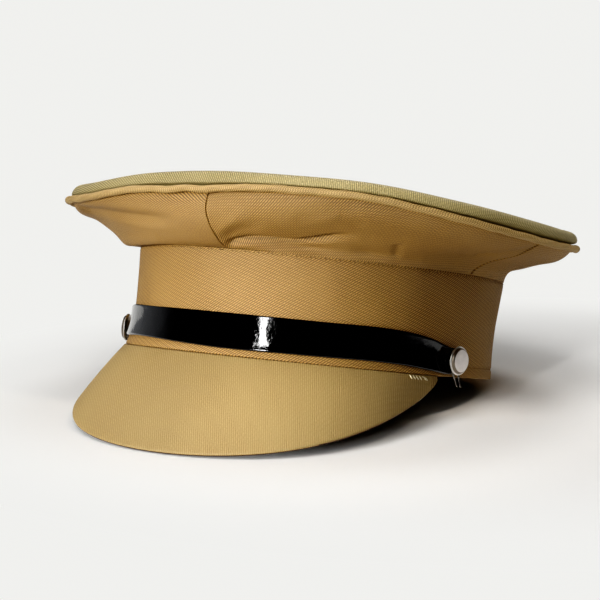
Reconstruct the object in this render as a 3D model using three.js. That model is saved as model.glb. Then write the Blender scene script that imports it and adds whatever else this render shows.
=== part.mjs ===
// A peaked cap of khaki twill with an olive top, corded piping, a black patent chin strap and plated
// buttons. It stands on the front edge of its peak and on the back rim of its band. Millimetres, +Z up,
// floor at z = 0. The cap faces -Y, and +X is the wearer's left. Angles run round the head from the
// front towards +X.
import * as THREE from 'three';

const { degToRad, radToDeg } = THREE.MathUtils;

// Band
const bandLength = 196.6;
const bandWidth = 179;
const bandHeight = 49.6;
const bandWall = 2.5;
const bandLean = 2.5; // how far the top edge sits behind the bottom edge
const bandFlare = 1.8; // how far the peak pulls the bottom edge out, as far round as its corners
const flareHeight = 14;
const flareFull = degToRad(60);
const flareEnd = degToRad(90);

// The band's face by height: it is drawn in under the strap and stands out at the crown's seam.
const bandSwell = [
  { height: 0, swell: 0.2 },
  { height: 12, swell: -0.5 },
  { height: 22, swell: -0.5 },
  { height: 36, swell: 0.1 },
  { height: 50, swell: 1 },
];

// How the cap stands
const pitch = degToRad(11.4); // the front of the band is lifted by the peak
const rimSpread = degToRad(40); // how far round the soft back rim spreads on the floor
const rimSag = 1.2;

// Cloth, gaps and facets
const clothWall = 2;
const gap = 0.3;
const station = degToRad(5);
const stationsRound = 72;
const bandRows = [0, 5, 12, 20, 35, bandHeight - gap]; // heights of the band's facets

// Crown: the piping follows its rim, and the quarters join the piping to the band
const pipingRadius = 1.7;
const pipingSides = 8;
const frontSeam = 2;
const sideSeam = 82;
const crownCentre = new THREE.Vector2(-1.5, 9);
const crownRise = 29; // the middle of the top above the band's seam
const quarterRows = [0.12, 0.24, 0.37, 0.5, 0.63, 0.76, 0.89]; // shares of a quarter's way up
const tuckOuter = 225; // where a quarter's two faces end, in degrees round the piping
const tuckInner = 195;

// One row for each section of the crown. Reach and rise place the piping beyond and above the band's
// seam, crest is how far the top's rolled edge stands above the piping, and the two handles bend the
// quarter: the first leaves the seam, the second comes up to the piping.
const crownSections = [
  { angle: -180, reach: 31, rise: 20, crest: 8.6, seamOut: 1, seamUp: 8, rimOut: 18, rimUp: 10 },
  { angle: -150, reach: 32, rise: 20, crest: 8.6, seamOut: 1, seamUp: 8, rimOut: 18, rimUp: 10 },
  { angle: -120, reach: 35, rise: 19, crest: 8.6, seamOut: 3, seamUp: 6, rimOut: 21, rimUp: 10 },
  { angle: -90, reach: 38, rise: 18.5, crest: 8.6, seamOut: 6, seamUp: 3, rimOut: 25, rimUp: 11 },
  { angle: -60, reach: 39.4, rise: 19.3, crest: 8.4, seamOut: 9, seamUp: 0.5, rimOut: 27, rimUp: 13 },
  { angle: -40, reach: 33, rise: 18.8, crest: 8.8, seamOut: 10, seamUp: 0.5, rimOut: 26, rimUp: 12 },
  { angle: -20, reach: 24, rise: 23.3, crest: 8.6, seamOut: 10, seamUp: 1, rimOut: 22, rimUp: 11 },
  { angle: 0, reach: 18.5, rise: 25.8, crest: 8.6, seamOut: 9, seamUp: 2, rimOut: 20, rimUp: 11 },
  { angle: 20, reach: 23.5, rise: 27.3, crest: 7.2, seamOut: -1, seamUp: 8, rimOut: 21, rimUp: 6 },
  { angle: 40, reach: 32, rise: 26.6, crest: 7.4, seamOut: 0, seamUp: 8, rimOut: 26, rimUp: 9 },
  { angle: 60, reach: 39, rise: 21.4, crest: 8.8, seamOut: 1, seamUp: 7, rimOut: 28, rimUp: 9 },
  { angle: 80, reach: 38.5, rise: 18.1, crest: 9.4, seamOut: 2.5, seamUp: 7, rimOut: 28, rimUp: 8 },
  { angle: 100, reach: 36.5, rise: 18.3, crest: 8.8, seamOut: 1.5, seamUp: 7.5, rimOut: 24, rimUp: 8.5 },
  { angle: 120, reach: 34, rise: 21, crest: 8.8, seamOut: 0, seamUp: 8, rimOut: 20, rimUp: 10 },
  { angle: 150, reach: 32, rise: 20.5, crest: 8.6, seamOut: 0.5, seamUp: 8, rimOut: 18, rimUp: 10 },
  { angle: 180, reach: 31, rise: 20, crest: 8.6, seamOut: 1, seamUp: 8, rimOut: 18, rimUp: 10 },
];

// One row for each soft dent in the quarters: where it is round the head and up the panel, its size
// and its depth.
const quarterDents = [
  { angle: 9, spread: 6, along: 0.38, width: 0.16, depth: 1.6 },
  { angle: 34, spread: 9, along: 0.55, width: 0.18, depth: 1.2 },
  { angle: 44, spread: 5, along: 0.16, width: 0.12, depth: 1.4 },
  { angle: 74, spread: 10, along: 0.4, width: 0.22, depth: 1.8 },
  { angle: -45, spread: 11, along: 0.62, width: 0.18, depth: 1.2 },
];

// One row for each pucker where the piping dips between stitches.
const pipingPuckers = [
  { angle: -10, spread: 4, drop: 0.7 },
  { angle: 0, spread: 4, drop: 0.8 },
];

// The top's rolled edge, from the piping inwards, for both faces: inset, and rise as a share of the
// section's crest.
const topEdge = [
  { inset: 1.4, rise: 0.17, underInset: 2.2, underRise: 0.07 },
  { inset: 1.7, rise: 0.5, underInset: 3.7, underRise: 0.42 },
  { inset: 3.5, rise: 0.83, underInset: 5.2, underRise: 0.65 },
  { inset: 7, rise: 1, underInset: 8, underRise: 0.78 },
  { inset: 14, rise: 1.07, underInset: 14, underRise: 0.83 },
];
const topRings = [0.75, 0.5, 0.25];
const topBow = 1.5; // how late the stretched top turns up to its edge

// Chin strap: it sits a little towards the wearer's left. One row for each section by angle from its
// middle, with the heights of its two edges above the band's bottom.
const strapTurn = degToRad(4.5);
const strapThickness = 1.4;
const strapEdgeRound = 0.5;
const strapRows = [0, 0.2, 0.5, 0.8, 1];
const strapSteps = 36;
const strapSections = [
  { angle: 0, bottom: 4.2, top: 19.6 },
  { angle: 50, bottom: 4.2, top: 19.6 },
  { angle: 56, bottom: 3.8, top: 19 },
  { angle: 64, bottom: 2.6, top: 17.2 },
  { angle: 72, bottom: 1.4, top: 14 },
  { angle: 75.5, bottom: 2, top: 13.2 },
  { angle: 77.5, bottom: 4, top: 11.2 },
];

// Buttons and the wire pins on their shanks
const buttonAngle = degToRad(72.8);
const buttonHeight = 7.9;
const buttonSeat = strapThickness + 3 * gap; // the shank's foot above the band's face
const shankRadius = 2.2;
const buttonProfile = [
  { radius: 0, out: 0 },
  { radius: shankRadius, out: 0 },
  { radius: shankRadius, out: 2.6 },
  { radius: 5.9, out: 2.9 },
  { radius: 6.7, out: 3.4 },
  { radius: 6.9, out: 4.1 },
  { radius: 6.6, out: 4.7 },
  { radius: 6, out: 4.8 },
  { radius: 5.5, out: 4.4 },
  { radius: 3.2, out: 5.1 },
  { radius: 0, out: 5.4 },
];
const buttonSides = 20;
const pinWire = 0.55;
const pinLegs = [
  { across: 1.4, up: -12.6, out: 2.2 },
  { across: 1.6, up: -9.6, out: 1.5 },
  { across: 2.5, up: -5, out: 0.7 },
  { across: 3.15, up: 0, out: 0.2 },
];
const pinSteps = 24;
const pinSegments = 3;

// Peak: its inner edge lies under the band, and its outer edge is a long arc that meets the floor at
// the front
const peakCorner = degToRad(72);
const peakReach = 112; // from the line through its corners to the front of its edge
const peakBulge = 0.23; // how far the edge swells past an ellipse
const peakLiftPower = 0.62; // how long the edge stays down before it rises to the corners
const peakThickness = 2.2;
const peakCrown = 2;
const peakPress = 0.3; // how far the soft edge gives where it meets the floor
const peakCornerOut = 0.4;
const peakCornerDrop = 1.6;
const peakTuckIn = 0.9; // the inner edge under the band's face
const peakTuckDown = 0.77;
const peakRows = [0, 0.17, 0.34, 0.51, 0.68, 0.85, 1];
const peakStations = 40;
const peakNose = [
  { ahead: 0.7, above: 0.7 },
  { ahead: 0.97, above: 0.25 },
];
const peakSlopeStep = 0.01;

const khakiTwill = new THREE.MeshStandardMaterial({ color: 0xb8925a, roughness: 0.9, metalness: 0 });
const oliveTwill = new THREE.MeshStandardMaterial({ color: 0xa8a26a, roughness: 0.9, metalness: 0 });
const blackPatent = new THREE.MeshStandardMaterial({ color: 0x08080a, roughness: 0.12, metalness: 0 });
const platedMetal = new THREE.MeshStandardMaterial({ color: 0xcfccc6, roughness: 0.3, metalness: 1 });

// Turns a solid's triangles over if they face inwards.
function facingOut(geometry) {
  const points = geometry.getAttribute('position');
  const index = geometry.getIndex();
  const corners = [new THREE.Vector3(), new THREE.Vector3(), new THREE.Vector3()];
  let volume = 0;
  for (let i = 0; i < index.count; i += 3) {
    corners.forEach((corner, j) => corner.fromBufferAttribute(points, index.getX(i + j)));
    volume += corners[0].dot(corners[1].cross(corners[2]));
  }
  if (volume < 0) {
    geometry.setIndex(Array.from(index.array).reverse());
  }
  return geometry;
}

// A closed solid through a row of equal rings. A ring runs out along one face of a wall and back along
// the other, so an open row is closed by a strip across its first and its last ring.
function loft(rings, loop = false) {
  const size = rings[0].length;
  const index = [];
  const quad = (a, b, c, d) => index.push(a, b, c, a, c, d);
  const spans = loop ? rings.length : rings.length - 1;
  for (let i = 0; i < spans; i += 1) {
    const here = i * size;
    const next = ((i + 1) % rings.length) * size;
    for (let j = 0; j < size; j += 1) {
      const k = (j + 1) % size;
      quad(here + j, here + k, next + k, next + j);
    }
  }
  if (!loop) {
    const last = (rings.length - 1) * size;
    for (let j = 0; j < size / 2 - 1; j += 1) {
      const m = size - 1 - j;
      quad(j, m, m - 1, j + 1);
      quad(last + j, last + j + 1, last + m - 1, last + m);
    }
  }
  const geometry = new THREE.BufferGeometry();
  const positions = rings.flat().flatMap((point) => point.toArray());
  geometry.setAttribute('position', new THREE.Float32BufferAttribute(positions, 3));
  geometry.setIndex(index);
  return facingOut(geometry);
}

// Reads a table of sections anywhere along its first column, smoothly between its rows.
function sectionReader(rows, ending) {
  const [place, ...columns] = Object.keys(rows[0]);
  const places = rows.map((row) => row[place]);
  const values = rows.flatMap((row) => columns.map((column) => row[column]));
  const spline = new THREE.CubicInterpolant(places, values, columns.length);
  spline.settings = { endingStart: ending, endingEnd: ending };
  return (at) => {
    const sample = spline.evaluate(at);
    return Object.fromEntries(columns.map((column, i) => [column, sample[i]]));
  };
}

// A hump that is 1 at the middle and fades to 0 a few widths away.
function hump(distance, width) {
  return Math.exp(-((distance / width) ** 2));
}

// The same angle, between half a turn back and half a turn on.
function wrapped(angle) {
  return Math.atan2(Math.sin(angle), Math.cos(angle));
}

function mesh(name, geometry, material) {
  const piece = new THREE.Mesh(geometry, material);
  piece.name = name;
  return piece;
}

// The cap's own frame has the band's bottom edge level at z = 0. This group tips it back onto the floor.
const cap = new THREE.Group();
cap.rotation.x = -pitch;
cap.position.z = (bandLength / 2) * Math.sin(pitch);
cap.updateMatrixWorld();

const readSwell = sectionReader(bandSwell, THREE.ZeroCurvatureEnding);

// The outward direction across the band at an angle.
function bandNormal(angle) {
  const across = Math.sin(angle) / bandWidth;
  const ahead = -Math.cos(angle) / bandLength;
  return new THREE.Vector3(across, ahead, 0).normalize();
}

// A point at an angle round the band, a height above its bottom edge and a distance out from its outer
// face.
function bandPoint(angle, height, out) {
  const low = Math.max(0, 1 - height / flareHeight) ** 2;
  const front = 1 - THREE.MathUtils.smoothstep(Math.abs(wrapped(angle)), flareFull, flareEnd);
  const stand = out + readSwell(height).swell + bandFlare * front * low;
  const point = new THREE.Vector3(
    (bandWidth / 2) * Math.sin(angle),
    -(bandLength / 2) * Math.cos(angle) + (bandLean * height) / bandHeight,
    height,
  );
  return point.addScaledVector(bandNormal(angle), stand);
}

// The band's wall, with its soft back rim sagging onto the floor and flattened there.
function bandMesh() {
  const settled = (angle, height, out) => {
    const sag = height === 0 ? rimSag * hump(wrapped(angle - Math.PI), rimSpread) : 0;
    const point = bandPoint(angle, height, out);
    point.z -= sag;
    const below = -cap.localToWorld(point.clone()).z;
    point.z += Math.max(0, below) / Math.cos(pitch);
    return point;
  };
  const rings = [];
  for (let i = 0; i < stationsRound; i += 1) {
    const outer = bandRows.map((height) => settled(i * station, height, 0));
    const inner = bandRows.map((height) => settled(i * station, height, -bandWall));
    rings.push([...outer, ...inner.reverse()]);
  }
  return mesh('band', loft(rings, true), khakiTwill);
}

const readCrown = sectionReader(crownSections, THREE.WrapAroundEnding);

// A point of the crown at an angle, measured out from the band's outer face and up from the band's seam.
function crownPoint(angle, out, up) {
  return bandPoint(angle, bandHeight, out).add(new THREE.Vector3(0, 0, up));
}

// The piping's centre in a section of the crown, with its puckers.
function rimCentre(angle) {
  const { reach, rise } = readCrown(radToDeg(angle));
  const drop = pipingPuckers.reduce((sum, pucker) => {
    const away = wrapped(angle - degToRad(pucker.angle));
    return sum + pucker.drop * hump(away, degToRad(pucker.spread));
  }, 0);
  return new THREE.Vector2(reach, rise - drop);
}

// A point round the piping's centre, for the cord itself and for the cloth edges that meet it.
function roundRim(angle, distance, degrees) {
  const turn = degToRad(degrees);
  return rimCentre(angle).add(new THREE.Vector2(Math.cos(turn), Math.sin(turn)).multiplyScalar(distance));
}

function pipingMesh() {
  const rings = [];
  for (let i = 0; i < stationsRound; i += 1) {
    const angle = wrapped(i * station);
    const ring = [];
    for (let j = 0; j < pipingSides; j += 1) {
      const spot = roundRim(angle, pipingRadius, (360 / pipingSides) * (j + 0.5));
      ring.push(crownPoint(angle, spot.x, spot.y));
    }
    rings.push(ring);
  }
  return mesh('crown_piping', loft(rings, true), khakiTwill);
}

// A quarter's wall at an angle: a flat foot on the band, the bent panel, and an edge tucked behind the
// piping.
function quarterRing(angle) {
  const row = readCrown(radToDeg(angle));
  const bend = new THREE.CubicBezierCurve(
    new THREE.Vector2(-gap, 0),
    new THREE.Vector2(row.seamOut, row.seamUp),
    new THREE.Vector2(row.rimOut, row.rimUp),
    roundRim(angle, pipingRadius + gap, tuckOuter),
  );
  const outer = [new THREE.Vector2(-gap, 0)];
  const inner = [new THREE.Vector2(-bandWall + gap, 0)];
  for (const along of quarterRows) {
    const tangent = bend.getTangent(along);
    const inward = new THREE.Vector2(-tangent.y, tangent.x);
    const dent = quarterDents.reduce((sum, spot) => {
      const away = wrapped(angle - degToRad(spot.angle));
      return sum + spot.depth * hump(away, degToRad(spot.spread)) * hump(along - spot.along, spot.width);
    }, 0);
    const face = bend.getPoint(along).addScaledVector(inward, dent);
    outer.push(face);
    inner.push(face.clone().addScaledVector(inward, clothWall));
  }
  outer.push(roundRim(angle, pipingRadius + gap, tuckOuter));
  inner.push(roundRim(angle, pipingRadius + 2 * gap, tuckInner));
  return [...outer, ...inner.reverse()].map((spot) => crownPoint(angle, spot.x, spot.y));
}

function quarterMesh(name, from, to) {
  const seamHalf = gap / bandWidth;
  const start = degToRad(from) + seamHalf;
  const end = degToRad(to) - seamHalf;
  const steps = Math.round((end - start) / station);
  const rings = [];
  for (let i = 0; i <= steps; i += 1) {
    rings.push(quarterRing(wrapped(start + ((end - start) * i) / steps)));
  }
  return mesh(name, loft(rings), khakiTwill);
}

// A ring of the top panel at an inset from the piping's centre and a share of the way up to the crest.
function topEdgeRing(inset, rise) {
  const ring = [];
  for (let i = 0; i < stationsRound; i += 1) {
    const angle = wrapped(i * station);
    const rim = rimCentre(angle);
    const { crest } = readCrown(radToDeg(angle));
    const point = crownPoint(angle, rim.x, rim.y + rise * crest);
    const inwards = new THREE.Vector3(crownCentre.x - point.x, crownCentre.y - point.y, 0).normalize();
    ring.push(point.addScaledVector(inwards, inset));
  }
  return ring;
}

// The stretched middle of the top, drawn from its innermost edge ring towards the crown's centre.
function topMiddleRing(edgeRing, share, drop) {
  const centre = new THREE.Vector3(crownCentre.x, crownCentre.y, bandHeight + crownRise - drop);
  return edgeRing.map((point) => {
    const spot = centre.clone().lerp(point, share);
    spot.z = THREE.MathUtils.lerp(centre.z, point.z, share ** topBow);
    return spot;
  });
}

function topMesh() {
  const upper = topEdge.map((row) => topEdgeRing(row.inset, row.rise));
  const under = topEdge.map((row) => topEdgeRing(row.underInset, row.underRise));
  const upperMiddle = topRings.map((share) => topMiddleRing(upper.at(-1), share, 0));
  const underMiddle = topRings.map((share) => topMiddleRing(under.at(-1), share, clothWall));
  const underSide = [...under, ...underMiddle].reverse();
  return mesh('crown_top', loft([...underSide, ...upper, ...upperMiddle]), oliveTwill);
}

const readStrap = sectionReader(strapSections, THREE.ZeroSlopeEnding);

function strapMesh() {
  const lastAngle = degToRad(strapSections.at(-1).angle);
  const rings = [];
  for (let i = 0; i <= strapSteps; i += 1) {
    const fromMiddle = lastAngle * ((2 * i) / strapSteps - 1);
    const angle = strapTurn + fromMiddle;
    const { bottom, top } = readStrap(Math.abs(radToDeg(fromMiddle)));
    const at = (share) => THREE.MathUtils.lerp(bottom, top, share);
    const back = strapRows.map((share) => bandPoint(angle, at(share), gap));
    const face = strapRows.map((share) => {
      const edge = share === 0 || share === 1 ? strapEdgeRound : 0;
      return bandPoint(angle, at(share), gap + strapThickness - edge);
    });
    rings.push([...face, ...back.reverse()]);
  }
  return mesh('chin_strap', loft(rings), blackPatent);
}

// A button with its pin, standing on the strap. In this group +Y points out from the band and +Z up it.
function fastening(name, side) {
  const group = new THREE.Group();
  const angle = strapTurn + side * buttonAngle;
  const normal = bandNormal(angle);
  group.position.copy(bandPoint(angle, buttonHeight, buttonSeat));
  group.rotation.z = Math.atan2(-normal.x, normal.y);

  const outline = buttonProfile.map(({ radius, out }) => new THREE.Vector2(radius, out));
  group.add(mesh(`button_${name}`, new THREE.LatheGeometry(outline, buttonSides), platedMetal));

  const leg = (row, hand) => new THREE.Vector3(hand * row.across, row.out + pinWire, row.up);
  const overTop = new THREE.Vector3(0, pinWire + pinLegs.at(-1).out, pinLegs.at(-1).across);
  const down = [...pinLegs].reverse();
  const bends = [...pinLegs.map((row) => leg(row, -1)), overTop, ...down.map((row) => leg(row, 1))];
  const wire = new THREE.Shape().absarc(0, 0, pinWire, 0, 2 * Math.PI);
  const pin = new THREE.ExtrudeGeometry(wire, {
    steps: pinSteps,
    curveSegments: pinSegments,
    extrudePath: new THREE.CatmullRomCurve3(bends),
  });
  group.add(mesh(`split_pin_${name}`, pin, platedMetal));
  return group;
}

// The inner edge of the peak under the band, and its outer edge above the floor, by turn from -1 to 1.
function peakInnerEdge(turn) {
  const tuck = new THREE.Vector3(0, 0, -gap - peakTuckDown);
  return cap.localToWorld(bandPoint(turn * peakCorner, 0, -peakTuckIn).add(tuck));
}

function peakOuterEdge(turn) {
  const swing = turn * (Math.PI / 2);
  const corner = cap.localToWorld(bandPoint(peakCorner, 0, 0));
  const low = peakThickness / 2 - peakPress;
  const lift = 1 - Math.max(0, Math.cos(swing)) ** peakLiftPower;
  return new THREE.Vector3(
    (corner.x + peakCornerOut) * Math.sin(swing) * (1 + peakBulge * Math.cos(swing) ** 2),
    corner.y - peakReach * Math.cos(swing),
    THREE.MathUtils.lerp(low, corner.z - peakCornerDrop, lift),
  );
}

// A point on the peak's middle surface, swelling gently between its two edges.
function peakPoint(turn, share) {
  const inner = peakInnerEdge(turn);
  const outer = peakOuterEdge(turn);
  const swell = 4 * share * (1 - share) * peakCrown * Math.cos(turn * (Math.PI / 2));
  return inner.lerp(outer, share).add(new THREE.Vector3(0, 0, swell));
}

// A section of the peak from the band to its edge: the upper face, a round nose, and the under face.
function peakRing(turn) {
  const spread = turn > 0 ? -peakSlopeStep : peakSlopeStep;
  const half = peakThickness / 2;
  const upper = [];
  const under = [];
  let outward;
  let up;
  for (const share of peakRows) {
    const middle = peakPoint(turn, share);
    const near = peakPoint(turn, Math.max(0, share - peakSlopeStep));
    const far = peakPoint(turn, Math.min(1, share + peakSlopeStep));
    const beside = peakPoint(turn + spread, share).sub(middle);
    outward = far.sub(near).normalize();
    up = outward.clone().cross(beside).multiplyScalar(Math.sign(spread)).normalize();
    up.multiplyScalar(up.z < 0 ? -1 : 1);
    upper.push(middle.clone().addScaledVector(up, half));
    under.push(middle.clone().addScaledVector(up, -half));
  }
  const edge = peakPoint(turn, 1);
  for (const { ahead, above } of peakNose) {
    upper.push(edge.clone().addScaledVector(outward, ahead * half).addScaledVector(up, above * half));
    under.push(edge.clone().addScaledVector(outward, ahead * half).addScaledVector(up, -above * half));
  }
  const ring = [...upper, ...under.reverse()];
  ring.forEach((point) => {
    point.z = Math.max(0, point.z);
  });
  return ring;
}

function peakMesh() {
  const rings = [];
  for (let i = 0; i <= peakStations; i += 1) {
    rings.push(peakRing((2 * i) / peakStations - 1));
  }
  return mesh('peak', loft(rings), khakiTwill);
}

cap.add(bandMesh());
cap.add(quarterMesh('quarter_front_left', frontSeam, sideSeam));
cap.add(quarterMesh('quarter_back_left', sideSeam, 180));
cap.add(quarterMesh('quarter_back_right', 180, 360 - sideSeam));
cap.add(quarterMesh('quarter_front_right', -sideSeam, frontSeam));
cap.add(pipingMesh());
cap.add(topMesh());
cap.add(strapMesh());
cap.add(fastening('left', 1));
cap.add(fastening('right', -1));

// The origin is on the floor, under the middle of the box that the cap fills.
const standing = new THREE.Group();
standing.add(cap, peakMesh());
const middle = new THREE.Box3().setFromObject(standing, true).getCenter(new THREE.Vector3());
standing.position.set(-middle.x, -middle.y, 0);

const part = new THREE.Group();
part.add(standing);

export default part;
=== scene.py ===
import math

import bmesh
import bpy
import numpy as np
from mathutils import Matrix, Vector


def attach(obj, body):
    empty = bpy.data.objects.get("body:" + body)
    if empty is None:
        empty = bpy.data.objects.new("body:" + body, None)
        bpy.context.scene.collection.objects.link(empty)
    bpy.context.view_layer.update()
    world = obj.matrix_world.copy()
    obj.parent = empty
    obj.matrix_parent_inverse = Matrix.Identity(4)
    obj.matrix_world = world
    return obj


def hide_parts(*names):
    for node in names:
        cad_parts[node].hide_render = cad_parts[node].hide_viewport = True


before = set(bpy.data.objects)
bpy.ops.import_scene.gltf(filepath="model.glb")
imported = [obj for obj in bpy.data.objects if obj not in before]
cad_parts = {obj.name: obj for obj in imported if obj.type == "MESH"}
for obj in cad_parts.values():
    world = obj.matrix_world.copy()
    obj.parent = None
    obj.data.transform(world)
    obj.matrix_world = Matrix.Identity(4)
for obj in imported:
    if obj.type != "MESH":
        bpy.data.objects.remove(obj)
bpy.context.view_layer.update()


# Band: the upright wall round the head, a strip of khaki cotton twill over a stiff core. Its bottom edge is
# folded under and its top edge is sewn to the crown. The peak is sewn under its front, and the cap stands on
# the back of its bottom edge.
mm = 0.001  # in metres: sizes are in millimetres unless they are times mm
band_length = 196.6
band_width = 179.0
band_height = 49.6
band_wall = 2.5
band_lean = 2.5
band_flare = 1.8
flare_height = 14.0
flare_full = math.radians(60)
flare_end = math.radians(90)
swell_height = np.array([0, 12, 22, 36, 50, 70.0])
swell_out = np.array([0.2, -0.5, -0.5, 0.1, 1, 1])
rim_spread = math.radians(40)
rim_sag = 1.2
sag_height = 5.0
pitch = math.radians(11.4)
stand_offset = np.array([0.1759, -1.1669, band_length / 2 * math.sin(pitch)])
gap = 0.3
mean_radius = 93.9
weld_distance = 2e-6


def read_table(places, values, at):
    """Reads a table smoothly between its rows: values holds one row for each place."""
    slopes = np.gradient(values, places, axis=0)
    row = np.clip(np.searchsorted(places, at, side="right") - 1, 0, len(places) - 2)
    width = places[row + 1] - places[row]
    t = (at - places[row]) / width
    if values.ndim > 1:
        t, width = t[..., None], width[..., None]
    start = (1 + 2 * t) * (1 - t) ** 2 * values[row] + t * (1 - t) ** 2 * width * slopes[row]
    end = t * t * (3 - 2 * t) * values[row + 1] + t * t * (t - 1) * width * slopes[row + 1]
    return start + end


def smooth_step(x, low, high):
    t = np.clip((x - low) / (high - low), 0, 1)
    return t * t * (3 - 2 * t)


def hump(distance, width):
    return np.exp(-((distance / width) ** 2))


def wrapped(angle):
    return np.arctan2(np.sin(angle), np.cos(angle))


def band_normal(angle):
    """The outward direction across the band's oval."""
    across = np.sin(angle) / band_width
    ahead = -np.cos(angle) / band_length
    size = np.hypot(across, ahead)
    return np.stack([across / size, ahead / size, 0 * angle], -1)


def band_point(angle, height, out):
    """A place round the head, above the band's bottom edge and out from its face, in the cap's own frame."""
    angle, height, out = np.broadcast_arrays(angle, height, out)
    low = np.maximum(0, 1 - height / flare_height) ** 2
    front = 1 - smooth_step(np.abs(wrapped(angle)), flare_full, flare_end)
    stand = out + read_table(swell_height, swell_out, height) + band_flare * front * low
    oval = np.stack(
        [
            band_width / 2 * np.sin(angle),
            -band_length / 2 * np.cos(angle) + band_lean * height / band_height,
            height.astype(float),
        ],
        -1,
    )
    return oval + band_normal(angle) * stand[..., None]


def on_floor(points):
    """Tips the cap back so that it stands on its peak and its back rim, and gives metres."""
    x, y, z = np.moveaxis(points, -1, 0)
    ahead = y * math.cos(pitch) + z * math.sin(pitch)
    above = -y * math.sin(pitch) + z * math.cos(pitch)
    return (np.stack([x, ahead, above], -1) + stand_offset) * mm


def face_normals(face, closed):
    """Outward unit normals of a grid of points, where closed says that its first and last columns are one."""
    if closed:
        padded = np.concatenate([face[-2:-1], face, face[1:2]])
        across = np.gradient(padded, axis=0)[1:-1]
    else:
        across = np.gradient(face, axis=0)
    normal = np.cross(np.gradient(face, axis=1), across)
    size = np.linalg.norm(normal, axis=-1, keepdims=True)
    return np.where(size > 1e-12, normal / np.maximum(size, 1e-12), (0, 0, 1))


def edge_fall(length, distance):
    """How far a folded edge has rounded off, from 1 at the edge itself to 0 at the given length further in."""
    return 1 - np.sqrt(np.clip(1 - (1 - np.minimum(distance / length, 1)) ** 2, 0, 1))


def laid_grid(points, cut):
    """A bmesh grid with its corners laid on the given points, and their cut coordinates as its UV map."""
    steps = np.array(points.shape[:2]) - 1
    bm = bmesh.new()
    bmesh.ops.create_grid(bm, x_segments=int(steps[0]), y_segments=int(steps[1]), size=0.5)
    mesh = bpy.data.meshes.new("laid_grid")
    bm.to_mesh(mesh)
    spots = np.empty((len(mesh.vertices), 3), np.float32)
    mesh.vertices.foreach_get("co", spots.ravel())
    column, row = np.rint((spots[:, :2] + 0.5) * steps).astype(int).T
    corners = np.empty(len(mesh.loops), np.int32)
    mesh.loops.foreach_get("vertex_index", corners)
    mesh.vertices.foreach_set("co", points[column, row].astype(np.float32).ravel())
    layer = mesh.uv_layers.new(name="cut")
    layer.uv.foreach_set("vector", cut[column, row][corners].astype(np.float32).ravel())
    bm.clear()
    bm.from_mesh(mesh)
    bpy.data.meshes.remove(mesh)
    return bm


def sewn_panel(name, face, wall, cut, closed, open_end=False, rounding=0.5):
    """A panel with folded edges, from a grid of points in metres on its outer face. Each edge is rounded off by a
    share of the wall and closed by a narrow wall. With open_end, the last column is the panel's centre and no edge.
    """
    normal = face_normals(face, closed)
    run = np.linalg.norm(np.diff(face, axis=1), axis=-1)
    along = np.concatenate([np.zeros((len(face), 1)), np.cumsum(run, axis=1)], axis=1)
    to_edge = along if open_end else np.minimum(along, along[:, -1:] - along)
    if not closed:
        step = np.linalg.norm(np.diff(face, axis=0), axis=-1)
        around = np.concatenate([np.zeros((1, face.shape[1])), np.cumsum(step, axis=0)])
        to_edge = np.minimum(to_edge, np.minimum(around, around[-1:] - around))
    radius = wall * rounding
    fall = radius * edge_fall(radius, to_edge)[..., None]
    front = face - normal * fall
    back = face - normal * (wall - fall)
    for axis in (1,) if closed else (1, 0):
        last = front.shape[axis] - 1
        ends = [0, *range(last + 1)] if open_end else [0, *range(last + 1), last]
        middle = np.take((front + back) / 2, ends, axis=axis)
        front, back, cut = (np.take(each, ends, axis=axis) for each in (front, back, cut))
        outer = [slice(None)] * axis + [[0] if open_end else [0, -1]]
        front[tuple(outer)] = back[tuple(outer)] = middle[tuple(outer)]
    points = np.concatenate([front, back[:, ::-1]], axis=1)
    cuts = np.concatenate([cut, cut[:, ::-1]], axis=1)
    bm = laid_grid(points, cuts)
    bmesh.ops.remove_doubles(bm, verts=bm.verts, dist=weld_distance)
    bmesh.ops.delete(bm, geom=[e for e in bm.edges if not e.link_faces], context="EDGES")
    bmesh.ops.recalc_face_normals(bm, faces=bm.faces)
    return finished(name, bm)


def finished(name, bm):
    """Turns a bmesh into a smooth-shaded piece that rides on the cap."""
    for f in bm.faces:
        f.smooth = True
    mesh = bpy.data.meshes.new(name)
    bm.to_mesh(mesh)
    bm.free()
    piece = bpy.data.objects.new(name, mesh)
    bpy.context.scene.collection.objects.link(piece)
    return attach(piece, "root")


def add_node(tree, kind, inputs=(), **settings):
    """Adds a shader node. Inputs are matched in order: a socket is linked, and a number is set."""
    node = tree.nodes.new(kind)
    for key, value in settings.items():
        setattr(node, key, value)
    for socket, value in zip(node.inputs, inputs):
        if isinstance(value, bpy.types.NodeSocket):
            tree.links.new(value, socket)
        elif value is not None:
            socket.default_value = value
    return node


def maths(tree, operation, *inputs):
    """One step of arithmetic on shader values."""
    return add_node(tree, "ShaderNodeMath", inputs, operation=operation).outputs[0]


def noise(tree, place, scale, detail=2.0):
    node = add_node(tree, "ShaderNodeTexNoise", [place], noise_dimensions="3D")
    node.inputs["Scale"].default_value = scale
    node.inputs["Detail"].default_value = detail
    return node.outputs["Fac"]


def span(tree, value, low, high, to_low, to_high):
    """Maps a value from one range to another, held at both ends."""
    return add_node(tree, "ShaderNodeMapRange", [value, low, high, to_low, to_high]).outputs[0]


def blend_colours(tree, share, first, second):
    node = tree.nodes.new("ShaderNodeMix")
    node.data_type = "RGBA"
    for socket, value in ((node.inputs[0], share), (node.inputs[6], first), (node.inputs[7], second)):
        if isinstance(value, bpy.types.NodeSocket):
            tree.links.new(value, socket)
        else:
            socket.default_value = value
    return node.outputs[2]


float_length = 2.2 * mm
row_shift = 0.37
rib_wander = 0.35 * mm
rib_height = 0.25 * mm
slub_scale = 260.0
yarn_scale = 1800.0
patch_scale = 22.0


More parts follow.
